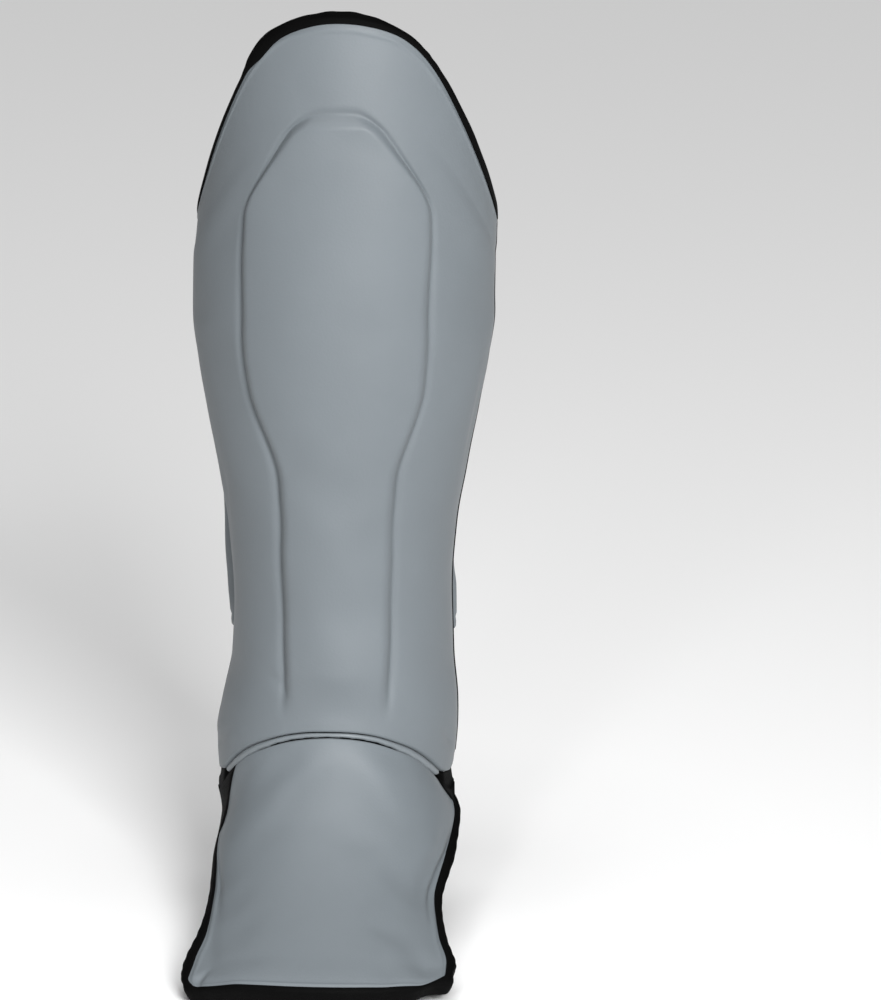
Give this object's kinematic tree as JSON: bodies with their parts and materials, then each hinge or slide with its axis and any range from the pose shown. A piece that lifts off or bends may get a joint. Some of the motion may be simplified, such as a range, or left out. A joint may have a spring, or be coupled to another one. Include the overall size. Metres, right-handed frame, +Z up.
{
  "type": "shin guard",
  "caption": "Padded synthetic leather shin guard in its worn form, with a raised centre panel, dark edging, a hinged instep pad and closing straps behind the calf and under the foot.",
  "frame": {"origin": "on the leg's axis, at the height of the middle of the ankle bend, where the instep pad starts", "axes": "+Z up along the leg, -Y to the front of the guard and the toes, +X to the wearer's left, which is the right of the picture"},
  "size_m": [0.1488, 0.261, 0.4511],
  "materials": {
    "grey_leather": "satin grained synthetic leather",
    "pale_piping": "smooth pale grey piping",
    "black_edging": "matte black edging and lining",
    "black_elastic": "matte black elastic webbing"
  },
  "bodies": {
    "root": {"shin_pad": "grey_leather", "shin_lining": "black_edging", "shin_binding": "black_edging", "ankle_roll": "pale_piping", "ankle_gusset": "black_edging", "instep_pad": "grey_leather", "instep_lining": "black_edging", "instep_binding": "black_edging", "calf_strap_upper": "grey_leather", "calf_strap_lower": "grey_leather", "foot_strap": "black_elastic"}
  },
  "joints": []
}
